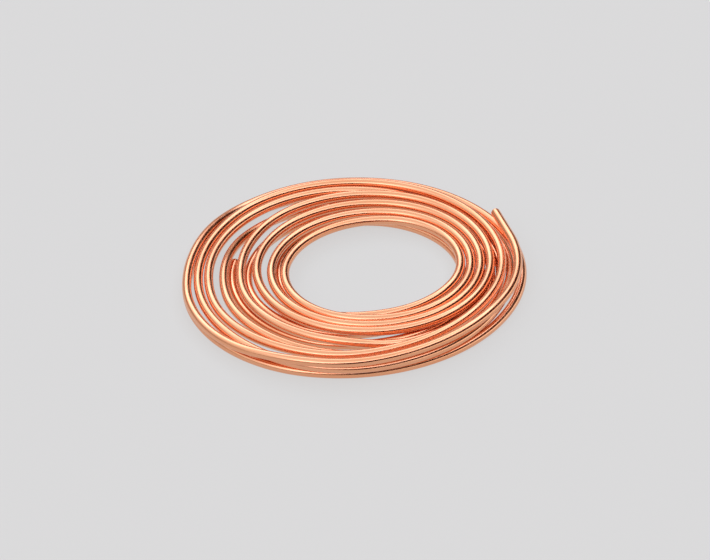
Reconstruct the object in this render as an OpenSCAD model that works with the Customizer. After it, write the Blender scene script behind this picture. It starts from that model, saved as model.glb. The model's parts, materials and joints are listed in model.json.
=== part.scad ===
/* [Tube] */
// Outside diameter of the tube
tube_od = 12.7; // [6:0.1:22]
// Thickness of the tube's wall
wall = 0.8; // [0.5:0.05:1.5]
/* [Winding] */
// Tightest bend, in tube diameters to the middle of the tube
tightest_bend = 7.6; // [7.6:0.1:14]
// Gap between one layer of turns and the next
layer_gap = 0.5; // [0.5:0.1:6]
/* [Free end] */
// Straight length at the free end
end_straight = 60; // [20:1:70]

/* [Hidden] */
$fn = 48;
drawn_od = 12.7;        // the tube that the route below is laid out for
drawn_bend = 7.6;       // and its tightest bend, in tube diameters
end_heading = 78.5;     // the way the free end points, in degrees from +X
bead_reach = 1;         // half the length of the bead that closes each joint of two arcs
bead_skin = 0.02;       // how far a bead stands proud of the tube's wall

// The hand-wound route, as stations of [degrees round the coil, radius, layer], anticlockwise from above.
// Layer 1 lies on the floor, 2 rides on it and 3 rides on both. A part layer is where the tube climbs.
// A quarter turn apart is close enough, because two arcs join each pair of stations smoothly, and a station
// between those holds the tube in where it rests on a neighbour.
lower_turns = [
  [135, 174, 1], [180, 165, 1], [270, 146, 1], [0, 175, 1], [90, 160, 1],
  [180, 142, 1], [270, 120, 1], [0, 149, 1], [90, 131, 1],
];
climb_to_inside = [[180, 98, 1], [270, 100, 1.85], [0, 148.5, 2]];
upper_turns = [
  [90, 109, 2], [180, 101, 2], [270, 115.5, 2], [0, 162.6, 2],
  [90, 130, 2], [180, 117, 2], [270, 129.7, 2], [0, 177.5, 2],
  [90, 154, 2], [180, 134, 2], [270, 143.7, 2], [0, 193.1, 2],
];
sagging_turns = [
  [90, 178.5, 2], [135, 162, 2], [180, 161, 2], [225, 158, 2], [270, 159.5, 1.17], [0, 190.5, 1],
  [90, 187, 1], [150, 183, 1.95], [180, 188, 2], [270, 173.6, 1], [0, 204, 1],
];
outer_turns = [
  [90, 202, 2], [150, 203.5, 2], [180, 207, 2], [225, 193.5, 2], [270, 177, 2], [0, 209.2, 2],
  [90, 219, 2], [135, 216, 2], [180, 222.5, 2], [225, 223.5, 2],
  [270, 208.5, 2], [315, 203.5, 1.75], [0, 220, 1],
  [90, 217, 1], [180, 235, 1], [270, 206.5, 1], [0, 234, 1],
  [90, 236, 1.2], [135, 230, 2], [180, 240, 2], [225, 230, 2.95], [270, 208.5, 3],
];
route = concat(lower_turns, climb_to_inside, upper_turns, sagging_turns, outer_turns, [[-11, 220.5, 3]]);

// A station as a point. The turns' spacing follows the tube, and a wider bend widens every turn alike.
tube_ratio = tube_od / drawn_od;
widening = (tightest_bend - drawn_bend) * tube_od;
layer_step = tube_od + layer_gap;
function place(s) = let(r = s[1] * tube_ratio + widening)
  [r * cos(s[0]), r * sin(s[0]), tube_od / 2 + (s[2] - 1) * layer_step];
points = [for (s = route) place(s)];
last = len(points) - 1;

function unit(v) = v / norm(v);
function flat(v) = [v[0], v[1], 0];
function slope(v) = v[2] / norm(flat(v));
// The gentler of two slopes, and level where one climbs and the other doesn't
function gentler(a, b) = a * b <= 0 ? 0 : (abs(a) < abs(b) ? a : b);
// Heading at a station: that of the circle through it and its neighbours, seen from above
function heading_at(i) = let(
    before = points[i] - points[i - 1],
    after = points[i + 1] - points[i],
    plan = unit(flat(unit(before) * norm(after) + unit(after) * norm(before)))
  ) unit(plan + [0, 0, gentler(slope(before), slope(after))]);
start_heading = let(
    chord = unit(flat(points[1] - points[0])),
    next = unit(flat(heading_at(1)))
  ) 2 * (next * chord) * chord - next;
end_way = [cos(end_heading), sin(end_heading), 0];
headings = [for (i = [0:last]) i == 0 ? start_heading : (i == last ? end_way : heading_at(i))];

// The ring of the tube's wall, standing at a given distance from the axis that it is turned about
module wall_ring() {
  difference() {
    circle(r = tube_od / 2);
    circle(r = tube_od / 2 - wall);
  }
}

// One arc of tube from point p, leaving along t, to point q
module arc_tube(p, t, q) {
  chord = q - p;
  inward = unit(chord - (chord * t) * t);
  radius = (chord * chord) / (2 * (chord * inward));
  sweep = 2 * atan2(chord * inward, chord * t);
  up = cross(-inward, t);
  centre = p + radius * inward;
  multmatrix([
    [-inward[0], t[0], up[0], centre[0]],
    [-inward[1], t[1], up[1], centre[1]],
    [-inward[2], t[2], up[2], centre[2]]
  ]) rotate_extrude(angle = sweep) translate([radius, 0]) wall_ring();
}

// A thin bead in the wall that makes two lengths of tube one where they meet at p, heading along t
module bead(p, t) {
  side = unit(cross(t, [0, 0, 1]));
  over = cross(t, side);
  multmatrix([
    [side[0], over[0], t[0], p[0]],
    [side[1], over[1], t[1], p[1]],
    [side[2], over[2], t[2], p[2]]
  ]) rotate_extrude()
    translate([tube_od / 2 - wall - bead_skin, -bead_reach])
      square([wall + 2 * bead_skin, 2 * bead_reach]);
}

// Two arcs that leave p0 along t0 and reach p1 along t1
module two_arcs(p0, t0, p1, t1) {
  chord = p1 - p0;
  both = t0 + t1;
  turn = 2 * (1 - t0 * t1);
  reach = (sqrt(pow(chord * both, 2) + turn * (chord * chord)) - chord * both) / turn;
  middle = (p0 + reach * t0 + p1 - reach * t1) / 2;
  way = unit(p1 - reach * t1 - p0 - reach * t0);
  arc_tube(p0, t0, middle);
  bead(middle, way);
  arc_tube(middle, way, p1);
  bead(p1, t1);
}

// The straight length at the free end, cut square
module straight_end() {
  translate(points[last]) rotate([0, 90, end_heading])
    difference() {
      cylinder(d = tube_od, h = end_straight);
      translate([0, 0, -1]) cylinder(d = tube_od - 2 * wall, h = end_straight + 2);
    }
}

// Where the middle of the coil's box lies on the floor, from the point that the route turns about
box_middle = [-2.76, 13.42, 0] * tube_ratio;

module copper_tube() {
  color("peru")
    translate(-box_middle) {
      for (i = [1:last]) two_arcs(points[i - 1], headings[i - 1], points[i], headings[i]);
      straight_end();
    }
}

copper_tube();
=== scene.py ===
import json
import math

import bmesh
import bpy
from mathutils import Matrix, Vector
from mathutils.kdtree import KDTree


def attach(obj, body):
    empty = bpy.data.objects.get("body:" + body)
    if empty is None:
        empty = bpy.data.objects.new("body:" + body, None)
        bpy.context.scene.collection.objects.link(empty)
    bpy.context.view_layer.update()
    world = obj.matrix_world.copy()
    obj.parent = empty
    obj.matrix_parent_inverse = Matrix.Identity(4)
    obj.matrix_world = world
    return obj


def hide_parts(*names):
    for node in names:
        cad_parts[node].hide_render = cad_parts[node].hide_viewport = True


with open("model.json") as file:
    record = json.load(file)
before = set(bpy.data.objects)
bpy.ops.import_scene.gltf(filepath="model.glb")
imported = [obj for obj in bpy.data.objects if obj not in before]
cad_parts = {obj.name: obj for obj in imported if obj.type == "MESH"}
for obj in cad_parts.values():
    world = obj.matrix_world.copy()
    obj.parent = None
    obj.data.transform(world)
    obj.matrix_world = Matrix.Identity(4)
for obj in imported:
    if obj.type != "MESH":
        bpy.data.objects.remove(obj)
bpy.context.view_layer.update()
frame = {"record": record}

# ---------------------------------------------------------------- sizes, in metres
MM = 0.001
TUBE_RADIUS = frame["record"]["mounts"][0]["dims"]["r_mm"] * MM
WALL = 0.8 * MM
BORE_RADIUS = TUBE_RADIUS - WALL
WELD = 0.02 * MM
LAYER_STEP = 13.2 * MM
RING_SPACING = 5.6 * MM        # between one ring of the tube's mesh and the next
OUTER_SIDES = 26
BORE_SIDES = 12
END_STRAIGHT = 60 * MM
END_HEADING = math.radians(78.5)
STATIONS_A_LENGTH = 4          # how many stations of the route one length of mesh is spun along
RIM_STEPS = ((0.99, 0.5 * MM), (0.965, 0.4 * MM))   # how the cutter wheel rolled each cut rim in
NEAR_RING = 1.05 * TUBE_RADIUS
NEAR_END = 1.1 * TUBE_RADIUS
SMOOTH_UP_TO = math.radians(40)
COIL_MIDDLE = Vector((2.76, -13.42, 0)) * MM   # the point that the route turns about

# The route, as stations of (degrees round the coil, radius in mm, layer), anticlockwise from above
ROUTE = [
    (135, 174, 1), (180, 165, 1), (270, 146, 1), (0, 175, 1), (90, 160, 1),
    (180, 142, 1), (270, 120, 1), (0, 149, 1), (90, 131, 1),
    (180, 98, 1), (270, 100, 1.85), (0, 148.5, 2),
    (90, 109, 2), (180, 101, 2), (270, 115.5, 2), (0, 162.6, 2),
    (90, 130, 2), (180, 117, 2), (270, 129.7, 2), (0, 177.5, 2),
    (90, 154, 2), (180, 134, 2), (270, 143.7, 2), (0, 193.1, 2),
    (90, 178.5, 2), (135, 162, 2), (180, 161, 2), (225, 158, 2), (270, 159.5, 1.17), (0, 190.5, 1),
    (90, 187, 1), (150, 183, 1.95), (180, 188, 2), (270, 173.6, 1), (0, 204, 1),
    (90, 202, 2), (150, 203.5, 2), (180, 207, 2), (225, 193.5, 2), (270, 177, 2), (0, 209.2, 2),
    (90, 219, 2), (135, 216, 2), (180, 222.5, 2), (225, 223.5, 2),
    (270, 208.5, 2), (315, 203.5, 1.75), (0, 220, 1),
    (90, 217, 1), (180, 235, 1), (270, 206.5, 1), (0, 234, 1),
    (90, 236, 1.2), (135, 230, 2), (180, 240, 2), (225, 230, 2.95), (270, 208.5, 3),
    (-11, 220.5, 3),
]

# ---------------------------------------------------------------- looks
COPPER_CLEAN = (0.93, 0.455, 0.265)
COPPER_BLUSHED = (0.90, 0.40, 0.21)
COPPER_LINES = (0.80, 0.36, 0.19)
# How often each pattern changes in a metre: along the tube, then across it both ways
DIE_LINES = (3.0, 1500.0, 1500.0)
BLUSH = (9.0, 60.0, 60.0)
SMUDGES = (45.0, 160.0, 160.0)
RIPPLES = (22.0, 70.0, 70.0)
LINE_DEPTH = 0.004 * MM
RIPPLE_DEPTH = 0.25 * MM

# The light tent's colours, in linear brightness
ROOF = (0.95, 0.97, 0.98)      # overhead, and down the left wall
LAMPS = (2.6, 2.45, 2.7)       # around the roof's edge
WALLS = (0.48, 0.40, 0.36)     # below the lamps
SWEEP = (1.3, 1.3, 1.3)        # low on the right, where the backdrop sweeps up
GAP = (0.055, 0.018, 0.008)    # the unlit gap between the roof and the sweep

FLOOR_RADIUS = 30.0
FLOOR_DEPTH = 0.2 * MM         # how far the floor lies below the coil
FLOOR_COLOUR = (0.12, 0.12, 0.12, 1.0)
FLOOR_GLOW = 0.58

CAMERA_AZIMUTH = math.radians(-30)
CAMERA_HEIGHT = math.radians(35.3)
CAMERA_DISTANCE = 9.0
VIEW_WIDTH = 0.9696            # how much of the floor the camera takes in, side to side
AIM_LEFT = 4.1 * MM            # where the camera aims, from the coil's middle
AIM_UP = 7.4 * MM
SENSOR = 36.0


# ---------------------------------------------------------------- the route
def station_point(station):
    angle, radius, layer = math.radians(station[0]), station[1] * MM, station[2]
    height = TUBE_RADIUS + (layer - 1) * LAYER_STEP
    return COIL_MIDDLE + Vector((radius * math.cos(angle), radius * math.sin(angle), height))


def flat(v):
    return Vector((v.x, v.y, 0))


def slope(v):
    return v.z / flat(v).length


def gentler(a, b):
    """The gentler of two slopes, and level where one climbs and the other doesn't."""
    if a * b <= 0:
        return 0
    return a if abs(a) < abs(b) else b


def heading_between(before, after):
    """The way the circle through three stations goes at the middle one, seen from above."""
    plan = flat(before.normalized() * after.length + after.normalized() * before.length).normalized()
    return Vector((plan.x, plan.y, gentler(slope(before), slope(after)))).normalized()


def route_headings(points):
    headings = [None] * len(points)
    for i in range(1, len(points) - 1):
        headings[i] = heading_between(points[i] - points[i - 1], points[i + 1] - points[i])
    chord = flat(points[1] - points[0]).normalized()
    after = flat(headings[1]).normalized()
    headings[0] = 2 * after.dot(chord) * chord - after
    headings[-1] = Vector((math.cos(END_HEADING), math.sin(END_HEADING), 0))
    return headings


class Arc:
    """A round bend that leaves a point along a heading and reaches another point."""

    def __init__(self, start, heading, end):
        chord = end - start
        inward = (chord - chord.dot(heading) * heading).normalized()
        self.start, self.heading = start, heading
        self.radius = chord.dot(chord) / (2 * chord.dot(inward))
        self.sweep = 2 * math.atan2(chord.dot(inward), chord.dot(heading))
        self.centre = start + self.radius * inward
        self.axis = heading.cross(inward)
        self.length = self.radius * self.sweep


def two_arcs(p0, t0, p1, t1):
    chord, both, turn = p1 - p0, t0 + t1, 2 * (1 - t0.dot(t1))
    along = chord.dot(both)
    reach = (math.sqrt(along * along + turn * chord.dot(chord)) - along) / turn
    middle = (p0 + reach * t0 + p1 - reach * t1) / 2
    way = (p1 - reach * t1 - p0 - reach * t0).normalized()
    return [Arc(p0, t0, middle), Arc(middle, way, p1)]


# ---------------------------------------------------------------- modelling
def deselect_all():
    bpy.ops.object.select_all(action="DESELECT")


def rings_at(place, turned):
    """A ring for the tube's outside and one for its bore, selected in edit mode, ready to be drawn out."""
    deselect_all()
    turn = turned.to_euler()
    bpy.ops.mesh.primitive_circle_add(vertices=OUTER_SIDES, radius=TUBE_RADIUS, location=place, rotation=turn)
    tube = bpy.context.object
    bpy.ops.object.transform_apply(location=True, rotation=True, scale=True)
    bpy.ops.object.mode_set(mode="EDIT")
    bpy.ops.mesh.primitive_circle_add(vertices=BORE_SIDES, radius=BORE_RADIUS, location=place, rotation=turn)
    bpy.ops.mesh.select_all(action="SELECT")
    return tube


class Winding:
    """Winds the tube length by length, and notes where each of its rings stands."""

    def __init__(self, start, heading):
        self.place = start.copy()
        self.turned = heading.to_track_quat("Z", "Y").to_matrix()
        self.wound = 0.0
        self.lengths = []
        self.rings = [(self.place.copy(), self.turned.copy(), 0.0)]

    def bend(self, arcs):
        """A length of tube, spun along its bends."""
        tube = rings_at(self.place, self.turned)
        for arc in arcs:
            steps = max(2, round(arc.length / RING_SPACING))
            bpy.ops.mesh.spin(steps=steps, angle=-arc.sweep, center=arc.centre, axis=arc.axis)
            for k in range(1, steps + 1):
                turn = Matrix.Rotation(arc.sweep * k / steps, 3, arc.axis)
                at = arc.centre + turn @ (arc.start - arc.centre)
                self.rings.append((at, turn @ self.turned, self.wound + arc.length * k / steps))
            self.place, self.turned, self.wound = self.rings[-1]
        bpy.ops.object.mode_set(mode="OBJECT")
        self.lengths.append(tube)

    def run_straight(self, heading, length):
        """A straight length of tube, drawn out ring by ring."""
        tube = rings_at(self.place, self.turned)
        steps = round(length / RING_SPACING)
        step = length / steps
        for _ in range(steps):
            bpy.ops.mesh.extrude_edges_move(TRANSFORM_OT_translate={"value": heading * step})
            self.place = self.place + heading * step
            self.wound += step
            self.rings.append((self.place, self.turned, self.wound))
        bpy.ops.object.mode_set(mode="OBJECT")
        self.lengths.append(tube)


def join_lengths(lengths, name):
    """One tube of the lengths, welded where their rings meet."""
    deselect_all()
    for length in lengths:
        length.select_set(True)
    bpy.context.view_layer.objects.active = lengths[0]
    bpy.ops.object.join()
    tube = bpy.context.object
    tube.name = tube.data.name = name
    bpy.ops.object.mode_set(mode="EDIT")
    bpy.ops.mesh.select_all(action="SELECT")
    bpy.ops.mesh.remove_doubles(threshold=WELD)
    bpy.ops.object.mode_set(mode="OBJECT")
    return tube


def select_open_end(tube, place):
    """Selects the open rings of the end that stands at a place."""
    bpy.ops.mesh.select_mode(type="EDGE")
    bpy.ops.mesh.select_all(action="DESELECT")
    mesh = bmesh.from_edit_mesh(tube.data)
    for edge in mesh.edges:
        middle = (edge.verts[0].co + edge.verts[1].co) / 2 - place
        edge.select_set(edge.is_boundary and middle.length < NEAR_END)
    bmesh.update_edit_mesh(tube.data)


def finish_cut(tube, place, out):
    """Rolls a cut end's rim in a little, as a wheel cutter leaves it, and closes the wall there."""
    bpy.ops.object.mode_set(mode="EDIT")
    select_open_end(tube, place)
    for squeeze, reach in RIM_STEPS:
        bpy.ops.mesh.extrude_edges_move(TRANSFORM_OT_translate={"value": out * reach})
        place = place + out * reach
        bpy.ops.transform.resize(value=(squeeze, squeeze, squeeze), center_override=place)
    bpy.ops.mesh.bridge_edge_loops()
    bpy.ops.object.mode_set(mode="OBJECT")


def close_shell(tube):
    bpy.ops.object.mode_set(mode="EDIT")
    bpy.ops.mesh.select_all(action="SELECT")
    bpy.ops.mesh.normals_make_consistent(inside=False)
    bpy.ops.object.mode_set(mode="OBJECT")
    bpy.ops.object.shade_smooth_by_angle(angle=SMOOTH_UP_TO)


def unwind(tube, rings):
    """Notes on each vertex where it was on the straight tube before winding: along it, and across it."""
    tree = KDTree(len(rings))
    for i, (place, _, _) in enumerate(rings):
        tree.insert(place, i)
    tree.balance()
    straight = tube.data.attributes.new("straight", "FLOAT_VECTOR", "POINT")
    for vertex in tube.data.vertices:
        best, found = None, None
        for _, i, distance in tree.find_range(vertex.co, NEAR_RING):
            place, turned, _ = rings[i]
            off_plane = abs((vertex.co - place).dot(turned.col[2]))
            off_wall = min(abs(distance - TUBE_RADIUS), abs(distance - BORE_RADIUS))
            if best is None or off_plane + off_wall < best:
                best, found = off_plane + off_wall, i
        place, turned, wound = rings[found]
        local = turned.transposed() @ (vertex.co - place)
        straight.data[vertex.index].vector = (wound + local.z, local.x, local.y)


def make_tube():
    points = [station_point(s) for s in ROUTE]
    headings = route_headings(points)
    bends = [two_arcs(points[i - 1], headings[i - 1], points[i], headings[i]) for i in range(1, len(points))]
    winding = Winding(points[0], headings[0])
    for first in range(0, len(bends), STATIONS_A_LENGTH):
        winding.bend([arc for pair in bends[first:first + STATIONS_A_LENGTH] for arc in pair])
    rim = sum(reach for _, reach in RIM_STEPS)
    winding.run_straight(headings[-1], END_STRAIGHT - rim)
    tube = join_lengths(winding.lengths, "bright_copper_tube")
    finish_cut(tube, points[0], -headings[0])
    finish_cut(tube, winding.place, headings[-1])
    close_shell(tube)
    unwind(tube, winding.rings)
    return tube


# ---------------------------------------------------------------- material
class Nodes:
    """Short ways to add and link shader nodes."""

    def __init__(self, tree):
        self.tree = tree

    def add(self, kind, **settings):
        node = self.tree.nodes.new(kind)
        for name, value in settings.items():
            setattr(node, name, value)
        return node

    def link(self, out, into):
        self.tree.links.new(out, into)

    def feed(self, value, into):
        """Gives a socket another node's output, a colour or a number."""
        if hasattr(value, "links"):
            self.link(value, into)
        elif isinstance(value, tuple):
            into.default_value = (*value, 1.0)
        else:
            into.default_value = value

    def noise(self, source, scale, detail=2.0, roughness=0.5, distortion=0.0):
        mapping = self.add("ShaderNodeMapping")
        mapping.inputs["Scale"].default_value = scale
        self.link(source, mapping.inputs["Vector"])
        node = self.add("ShaderNodeTexNoise")
        node.inputs["Scale"].default_value = 1.0
        node.inputs["Detail"].default_value = detail
        node.inputs["Roughness"].default_value = roughness
        node.inputs["Distortion"].default_value = distortion
        self.link(mapping.outputs["Vector"], node.inputs["Vector"])
        return node.outputs["Fac"]

    def spread(self, value, low, high, to_low=0.0, to_high=1.0):
        """A number that goes evenly from one level to another while a value goes from low to high."""
        node = self.add("ShaderNodeMapRange")
        for name, number in (("From Min", low), ("From Max", high), ("To Min", to_low), ("To Max", to_high)):
            node.inputs[name].default_value = number
        self.link(value, node.inputs["Value"])
        return node.outputs["Result"]

    def math(self, operation, a, b):
        node = self.add("ShaderNodeMath", operation=operation)
        self.feed(a, node.inputs[0])
        self.feed(b, node.inputs[1])
        return node.outputs["Value"]

    def facing(self, direction, way):
        """How nearly a direction faces a way: 1 along it, 0 across it."""
        node = self.add("ShaderNodeVectorMath", operation="DOT_PRODUCT")
        self.link(direction, node.inputs[0])
        node.inputs[1].default_value = way
        return node.outputs["Value"]

    def blend(self, factor, a, b):
        """From one number to another, evenly."""
        node = self.add("ShaderNodeMix", data_type="FLOAT")
        self.link(factor, node.inputs["Factor"])
        self.feed(a, node.inputs[2])
        self.feed(b, node.inputs[3])
        return node.outputs[0]

    def mix(self, factor, a, b):
        """From one colour to another, evenly."""
        node = self.add("ShaderNodeMix", data_type="RGBA")
        self.link(factor, node.inputs["Factor"])
        self.feed(a, node.inputs[6])
        self.feed(b, node.inputs[7])
        return node.outputs[2]

    def bump(self, height, distance, normal=None):
        node = self.add("ShaderNodeBump")
        node.inputs["Strength"].default_value = 1.0
        node.inputs["Distance"].default_value = distance
        self.link(height, node.inputs["Height"])
        if normal is not None:
            self.link(normal, node.inputs["Normal"])
        return node.outputs["Normal"]


def drawn_copper():
    """Bright copper as it leaves the drawing die: clean and glossy, with faint lines along it, handling
    smudges and the first blush of tarnish in long soft patches."""
    material = bpy.data.materials.new("bright_drawn_copper")
    material.use_nodes = True
    n = Nodes(material.node_tree)
    surface = material.node_tree.nodes["Principled BSDF"]
    surface.inputs["Metallic"].default_value = 1.0
    along = n.add("ShaderNodeAttribute", attribute_name="straight").outputs["Vector"]

    die_lines = n.noise(along, DIE_LINES, detail=3.0, roughness=0.6)
    blush = n.noise(along, BLUSH, detail=3.0, roughness=0.55, distortion=0.4)
    smudges = n.noise(along, SMUDGES, detail=4.0, roughness=0.6)
    ripples = n.noise(along, RIPPLES, detail=1.0)

    tint = n.mix(n.spread(blush, 0.38, 0.72), COPPER_CLEAN, COPPER_BLUSHED)
    tint = n.mix(n.spread(die_lines, 0.35, 0.75, 0.0, 0.35), tint, COPPER_LINES)
    n.link(tint, surface.inputs["Base Color"])

    smudged = n.spread(smudges, 0.35, 0.75, 0.12, 0.27)
    lined = n.spread(die_lines, 0.3, 0.8, -0.02, 0.07)
    rough = n.math("ADD", smudged, lined)
    n.link(rough, surface.inputs["Roughness"])

    relief = n.bump(die_lines, LINE_DEPTH)
    relief = n.bump(ripples, RIPPLE_DEPTH, relief)
    n.link(relief, surface.inputs["Normal"])
    return material


tube = make_tube()
tube.data.materials.append(drawn_copper())
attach(tube, "root")
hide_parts("copper_tube")


# ---------------------------------------------------------------- floor, light and camera
def pale_floor():
    deselect_all()
    place = (0, 0, -FLOOR_DEPTH)
    bpy.ops.mesh.primitive_circle_add(vertices=96, radius=FLOOR_RADIUS, fill_type="NGON", location=place)
    floor = bpy.context.object
    floor.name = "floor"
    bpy.ops.object.transform_apply(location=True, rotation=True, scale=True)
    material = bpy.data.materials.new("pale_floor")
    material.use_nodes = True
    surface = material.node_tree.nodes["Principled BSDF"]
    surface.inputs["Base Color"].default_value = FLOOR_COLOUR
    surface.inputs["Roughness"].default_value = 0.9
    surface.inputs["Specular IOR Level"].default_value = 0.0
    surface.inputs["Emission Color"].default_value = (1.0, 1.0, 1.0, 1.0)
    surface.inputs["Emission Strength"].default_value = FLOOR_GLOW
    floor.data.materials.append(material)
    return floor


def towards(azimuth, height):
    """A direction, with its azimuth from the camera's right, anticlockwise from above."""
    a, h = math.radians(azimuth) + CAMERA_AZIMUTH, math.radians(height)
    return (math.cos(a) * math.cos(h), math.sin(a) * math.cos(h), math.sin(h))


def studio():
    """A soft light tent: a pale roof with lamps around its edge, dim walls, and a bright sweep low on the
    right with an unlit gap above it. Each edge is soft, between two levels of how nearly a way is faced."""
    world = bpy.data.worlds.new("soft_tent")
    bpy.context.scene.world = world
    world.use_nodes = True
    n = Nodes(world.node_tree)
    way = n.add("ShaderNodeTexCoord").outputs["Generated"]
    upward = n.facing(way, (0, 0, 1))
    roofward = n.facing(way, towards(180, 70))
    rightward = n.spread(n.facing(way, towards(-10, 0)), -0.05, 0.25)
    leftward = n.spread(n.facing(way, towards(180, 0)), 0.35, 0.7)
    rearward = n.spread(n.facing(way, towards(120, 0)), 0.1, 0.5)

    low = n.mix(rightward, WALLS, n.mix(n.spread(roofward, -0.14, 0.0), SWEEP, GAP))
    overhead = n.math("MINIMUM", n.spread(roofward, 0.60, 0.72), n.spread(upward, 0.68, 0.84))
    high = n.mix(n.math("MAXIMUM", overhead, leftward), LAMPS, ROOF)
    above_rear_wall = n.blend(rearward, 1.0, n.spread(upward, 0.36, 0.47))
    above_walls = n.math("MULTIPLY", n.spread(roofward, 0.47, 0.54), above_rear_wall)
    tent = n.mix(above_walls, low, high)
    n.link(tent, world.node_tree.nodes["Background"].inputs["Color"])


def side_and_up():
    """The camera's right and up, and the way back to it."""
    a, e = CAMERA_AZIMUTH, CAMERA_HEIGHT
    back = Vector((math.sin(a) * math.cos(e), -math.cos(a) * math.cos(e), math.sin(e)))
    right = Vector((math.cos(a), math.sin(a), 0))
    return right, back.cross(right), back


def place_camera():
    right, up, back = side_and_up()
    data = bpy.data.cameras.new("camera")
    data.sensor_width = SENSOR
    data.lens = SENSOR * CAMERA_DISTANCE / VIEW_WIDTH
    data.clip_end = 100
    camera = bpy.data.objects.new("camera", data)
    bpy.context.scene.collection.objects.link(camera)
    aim = COIL_MIDDLE - right * AIM_LEFT + up * AIM_UP
    camera.location = aim + back * CAMERA_DISTANCE
    camera.rotation_euler = back.to_track_quat("Z", "Y").to_euler()
    bpy.context.scene.camera = camera


pale_floor()
studio()
place_camera()
bpy.context.scene.view_settings.view_transform = "Standard"
